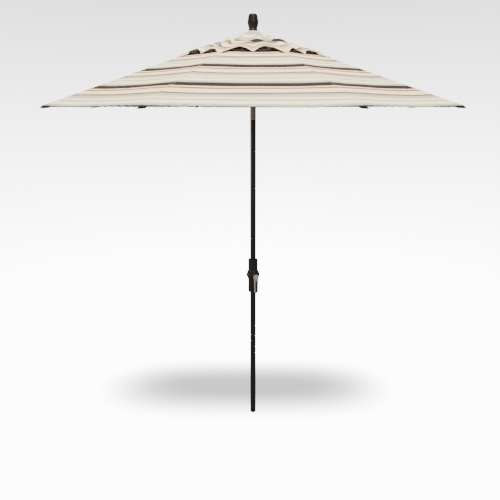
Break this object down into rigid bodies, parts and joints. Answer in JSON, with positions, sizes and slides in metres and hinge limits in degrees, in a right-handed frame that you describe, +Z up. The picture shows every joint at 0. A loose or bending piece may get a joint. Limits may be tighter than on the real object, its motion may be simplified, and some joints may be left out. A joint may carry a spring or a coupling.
{
  "type": "market umbrella",
  "caption": "Open market umbrella: octagonal vented canopy on folding ribs, two-piece pole with a crank lift, a collar-driven tilt hinge and a turned finial.",
  "frame": {"origin": "centre of the pole's lower end", "axes": "+Z up the pole, -Y towards the viewer of the front panel, +X the way the head leans when it is tilted"},
  "size_m": [2.383, 2.383, 2.682],
  "materials": {
    "pole": "espresso powder coat, satin",
    "rib_steel": "espresso powder coat, satin",
    "housing": "moulded nylon, dark bronze, low sheen",
    "black_plastic": "moulded nylon, black",
    "collar": "moulded nylon, grey brown, soft touch",
    "crank_metal": "cast zinc, pewter satin",
    "bright_metal": "zinc plated",
    "brass": "turned",
    "white_plastic": "acetal, natural",
    "cord": "braided polyester",
    "canopy_cloth": "woven polyester, cream with yarn-dyed stripes",
    "cap_cloth": "woven polyester, cream with yarn-dyed stripes",
    "finial": "turned, espresso lacquer",
    "grip": "moulded nylon, dark grey"
  },
  "bodies": {
    "lower_mast": {"lower_pole": "pole", "foot_plug": "black_plastic", "snap_spring": "bright_metal", "middle_pole": "pole", "crank_housing_front": "housing", "crank_housing_rear": "housing", "housing_screws": "bright_metal", "shaft_bushes": "black_plastic", "brake_spring": "bright_metal", "tilt_socket": "black_plastic", "collar_ring": "black_plastic", "lift_cord_lower": "cord"},
    "snap_button": {"snap_button": "bright_metal"},
    "crank": {"crank_shaft": "crank_metal", "cord_drum": "white_plastic", "cord_winding": "cord", "crank_arm": "crank_metal", "grip_pin": "bright_metal"},
    "crank_grip": {"crank_grip": "grip"},
    "tilt_collar": {"tilt_collar": "collar"},
    "collar_nut": {"collar_nut": "brass"},
    "tilt_link": {"tilt_link": "bright_metal"},
    "mast_head": {"tilt_head": "black_plastic", "tilt_pins": "bright_metal", "upper_pole": "pole", "top_hub": "black_plastic", "hub_pins": "bright_metal", "pulley_pin": "bright_metal", "finial": "finial", "vent_cap": "cap_cloth", "canopy": "canopy_cloth", "lift_cord_upper": "cord", "lift_cord_fall": "cord"},
    "runner": {"runner": "black_plastic"},
    "pulley": {"pulley": "white_plastic"},
    "rib_1": {"rib_1": "rib_steel", "rib_fittings_1": "black_plastic"},
    "rib_2": {"rib_2": "rib_steel", "rib_fittings_2": "black_plastic"},
    "rib_3": {"rib_3": "rib_steel", "rib_fittings_3": "black_plastic"},
    "rib_4": {"rib_4": "rib_steel", "rib_fittings_4": "black_plastic"},
    "rib_5": {"rib_5": "rib_steel", "rib_fittings_5": "black_plastic"},
    "rib_6": {"rib_6": "rib_steel", "rib_fittings_6": "black_plastic"},
    "rib_7": {"rib_7": "rib_steel", "rib_fittings_7": "black_plastic"},
    "rib_8": {"rib_8": "rib_steel", "rib_fittings_8": "black_plastic"},
    "strut_1": {"strut_1": "rib_steel"},
    "strut_2": {"strut_2": "rib_steel"},
    "strut_3": {"strut_3": "rib_steel"},
    "strut_4": {"strut_4": "rib_steel"},
    "strut_5": {"strut_5": "rib_steel"},
    "strut_6": {"strut_6": "rib_steel"},
    "strut_7": {"strut_7": "rib_steel"},
    "strut_8": {"strut_8": "rib_steel"}
  },
  "joints": [
    {"name": "canopy_tilt", "type": "hinge", "parent": "lower_mast", "child": "mast_head", "pos_m": [0, 0, 2.118], "axis": [0, 1, 0], "range_deg": [0, 36]},
    {"name": "collar_turn", "type": "hinge", "parent": "lower_mast", "child": "tilt_collar", "pos_m": [0, 0, 2.05], "axis": [0, 0, 1], "range_deg": [0, 180]},
    {"name": "collar_nut_slide", "type": "slide", "parent": "lower_mast", "child": "collar_nut", "axis": [0, 0, 1], "range_m": [0, 0.00532]},
    {"name": "tilt_link_swing", "type": "hinge", "parent": "collar_nut", "child": "tilt_link", "pos_m": [-0.009, 0, 2.07], "axis": [0, 1, 0], "range_deg": [0, 2.05]},
    {"name": "runner_slide", "type": "slide", "parent": "mast_head", "child": "runner", "axis": [0, 0, -1], "range_m": [0, 0.69558], "deforming": ["canopy", "vent_cap", "lift_cord_fall"]},
    {"name": "pulley_turn", "type": "hinge", "parent": "mast_head", "child": "pulley", "pos_m": [0.012, 0, 2.51553], "axis": [0, 1, 0], "range_deg": [0, 3321.6]},
    {"name": "crank_turn", "type": "hinge", "parent": "lower_mast", "child": "crank", "pos_m": [0, 0, 0.972], "axis": [0.3907, -0.9205, 0], "range_deg": [0, 3600.01]},
    {"name": "grip_fold", "type": "hinge", "parent": "crank", "child": "crank_grip", "pos_m": [0.0218, -0.05136, 0.872], "axis": [0.9205, 0.3907, 0], "range_deg": [0, 90]},
    {"name": "snap_button_press", "type": "slide", "parent": "lower_mast", "child": "snap_button", "axis": [0, -1, 0], "range_m": [0, 0.0045], "stiffness_N_per_m": 800, "springref_m": -0.002, "deforming": ["snap_spring"]},
    {"name": "rib_1_fold", "type": "hinge", "parent": "mast_head", "child": "rib_1", "pos_m": [0.04619, 0.01913, 2.54553], "axis": [-0.3827, 0.9239, 0], "range_deg": [0, 63.91]},
    {"name": "strut_1_fold", "type": "hinge", "parent": "rib_1", "child": "strut_1", "pos_m": [0.50735, 0.21015, 2.33873], "axis": [0.3827, -0.9239, 0], "range_deg": [0, 130.49]},
    {"name": "rib_2_fold", "type": "hinge", "parent": "mast_head", "child": "rib_2", "pos_m": [0.01913, 0.04619, 2.54553], "axis": [-0.9239, 0.3827, 0], "range_deg": [0, 63.91]},
    {"name": "strut_2_fold", "type": "hinge", "parent": "rib_2", "child": "strut_2", "pos_m": [0.21015, 0.50735, 2.33873], "axis": [0.9239, -0.3827, 0], "range_deg": [0, 130.49]},
    {"name": "rib_3_fold", "type": "hinge", "parent": "mast_head", "child": "rib_3", "pos_m": [-0.01913, 0.04619, 2.54553], "axis": [-0.9239, -0.3827, 0], "range_deg": [0, 63.91]},
    {"name": "strut_3_fold", "type": "hinge", "parent": "rib_3", "child": "strut_3", "pos_m": [-0.21015, 0.50735, 2.33873], "axis": [0.9239, 0.3827, 0], "range_deg": [0, 130.49]},
    {"name": "rib_4_fold", "type": "hinge", "parent": "mast_head", "child": "rib_4", "pos_m": [-0.04619, 0.01913, 2.54553], "axis": [-0.3827, -0.9239, 0], "range_deg": [0, 63.91]},
    {"name": "strut_4_fold", "type": "hinge", "parent": "rib_4", "child": "strut_4", "pos_m": [-0.50735, 0.21015, 2.33873], "axis": [0.3827, 0.9239, 0], "range_deg": [0, 130.49]},
    {"name": "rib_5_fold", "type": "hinge", "parent": "mast_head", "child": "rib_5", "pos_m": [-0.04619, -0.01913, 2.54553], "axis": [0.3827, -0.9239, 0], "range_deg": [0, 63.91]},
    {"name": "strut_5_fold", "type": "hinge", "parent": "rib_5", "child": "strut_5", "pos_m": [-0.50735, -0.21015, 2.33873], "axis": [-0.3827, 0.9239, 0], "range_deg": [0, 130.49]},
    {"name": "rib_6_fold", "type": "hinge", "parent": "mast_head", "child": "rib_6", "pos_m": [-0.01913, -0.04619, 2.54553], "axis": [0.9239, -0.3827, 0], "range_deg": [0, 63.91]},
    {"name": "strut_6_fold", "type": "hinge", "parent": "rib_6", "child": "strut_6", "pos_m": [-0.21015, -0.50735, 2.33873], "axis": [-0.9239, 0.3827, 0], "range_deg": [0, 130.49]},
    {"name": "rib_7_fold", "type": "hinge", "parent": "mast_head", "child": "rib_7", "pos_m": [0.01913, -0.04619, 2.54553], "axis": [0.9239, 0.3827, 0], "range_deg": [0, 63.91]},
    {"name": "strut_7_fold", "type": "hinge", "parent": "rib_7", "child": "strut_7", "pos_m": [0.21015, -0.50735, 2.33873], "axis": [-0.9239, -0.3827, 0], "range_deg": [0, 130.49]},
    {"name": "rib_8_fold", "type": "hinge", "parent": "mast_head", "child": "rib_8", "pos_m": [0.04619, -0.01913, 2.54553], "axis": [0.3827, 0.9239, 0], "range_deg": [0, 63.91]},
    {"name": "strut_8_fold", "type": "hinge", "parent": "rib_8", "child": "strut_8", "pos_m": [0.50735, -0.21015, 2.33873], "axis": [-0.3827, -0.9239, 0], "range_deg": [0, 130.49]}
  ],
  "couplings": [
    {"joint": "collar_turn", "follows": "canopy_tilt", "ratio": 5},
    {"joint": "collar_nut_slide", "follows": "canopy_tilt", "m_per_rad": 0.0084684},
    {"joint": "tilt_link_swing", "follows": "canopy_tilt", "ratio": 0.057004},
    {"joint": "rib_1_fold", "follows": "runner_slide", "rad_per_m": 1.6035},
    {"joint": "strut_1_fold", "follows": "runner_slide", "rad_per_m": 3.2742},
    {"joint": "rib_2_fold", "follows": "runner_slide", "rad_per_m": 1.6035},
    {"joint": "strut_2_fold", "follows": "runner_slide", "rad_per_m": 3.2742},
    {"joint": "rib_3_fold", "follows": "runner_slide", "rad_per_m": 1.6035},
    {"joint": "strut_3_fold", "follows": "runner_slide", "rad_per_m": 3.2742},
    {"joint": "rib_4_fold", "follows": "runner_slide", "rad_per_m": 1.6035},
    {"joint": "strut_4_fold", "follows": "runner_slide", "rad_per_m": 3.2742},
    {"joint": "rib_5_fold", "follows": "runner_slide", "rad_per_m": 1.6035},
    {"joint": "strut_5_fold", "follows": "runner_slide", "rad_per_m": 3.2742},
    {"joint": "rib_6_fold", "follows": "runner_slide", "rad_per_m": 1.6035},
    {"joint": "strut_6_fold", "follows": "runner_slide", "rad_per_m": 3.2742},
    {"joint": "rib_7_fold", "follows": "runner_slide", "rad_per_m": 1.6035},
    {"joint": "strut_7_fold", "follows": "runner_slide", "rad_per_m": 3.2742},
    {"joint": "rib_8_fold", "follows": "runner_slide", "rad_per_m": 1.6035},
    {"joint": "strut_8_fold", "follows": "runner_slide", "rad_per_m": 3.2742},
    {"joint": "crank_turn", "follows": "runner_slide", "rad_per_m": 90.33},
    {"joint": "pulley_turn", "follows": "runner_slide", "rad_per_m": 83.333}
  ]
}
